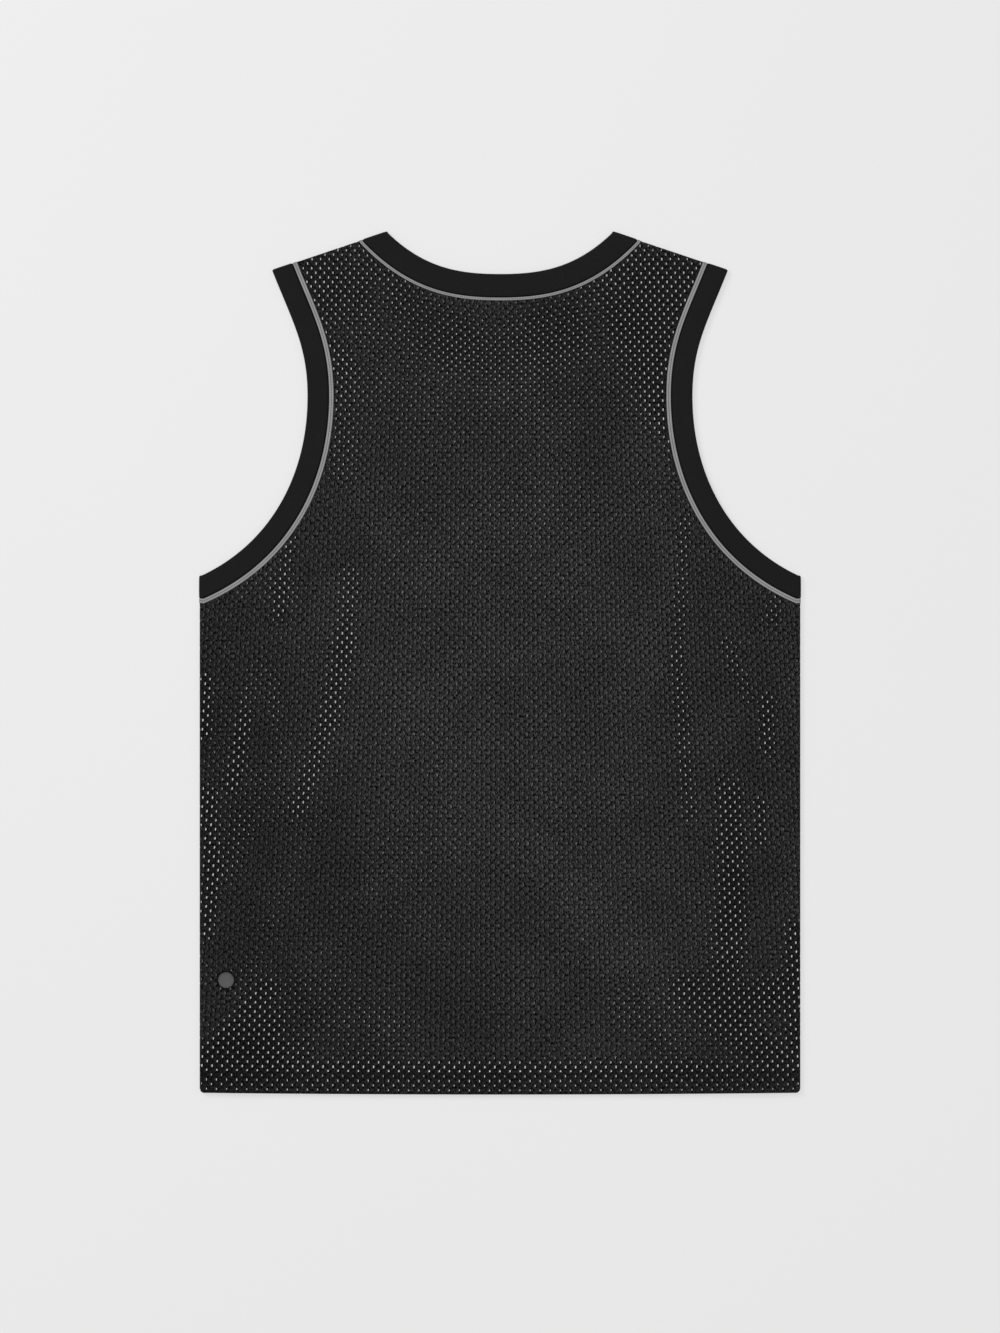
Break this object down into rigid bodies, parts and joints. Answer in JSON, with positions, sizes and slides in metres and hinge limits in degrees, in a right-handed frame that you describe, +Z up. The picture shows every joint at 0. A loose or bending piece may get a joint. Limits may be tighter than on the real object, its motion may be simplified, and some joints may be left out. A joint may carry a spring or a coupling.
{
  "type": "mesh tank top",
  "caption": "Sleeveless mesh sports top laid flat with its back up, with plain bands and piping at neck and armholes and a turned hem.",
  "frame": {"origin": "on the surface that the garment lies on, under the middle of its length and width", "axes": "+Z up through the two layers, +Y from the hem to the shoulders, +X to the right as seen with the hem nearest and the back up"},
  "size_m": [0.53, 0.76, 0.0064],
  "materials": {
    "mesh_knit": "dull black warp-knit mesh",
    "plain_knit": "smooth dull black knit",
    "piping_tape": "flat grey tape with a soft sheen",
    "disc_rubber": "matt grey"
  },
  "bodies": {
    "root": {"back_panel": "mesh_knit", "front_panel": "mesh_knit", "neck_band": "plain_knit", "left_arm_band": "plain_knit", "right_arm_band": "plain_knit", "neck_piping": "piping_tape", "left_arm_piping": "piping_tape", "right_arm_piping": "piping_tape", "hem_disc": "disc_rubber"}
  },
  "joints": []
}
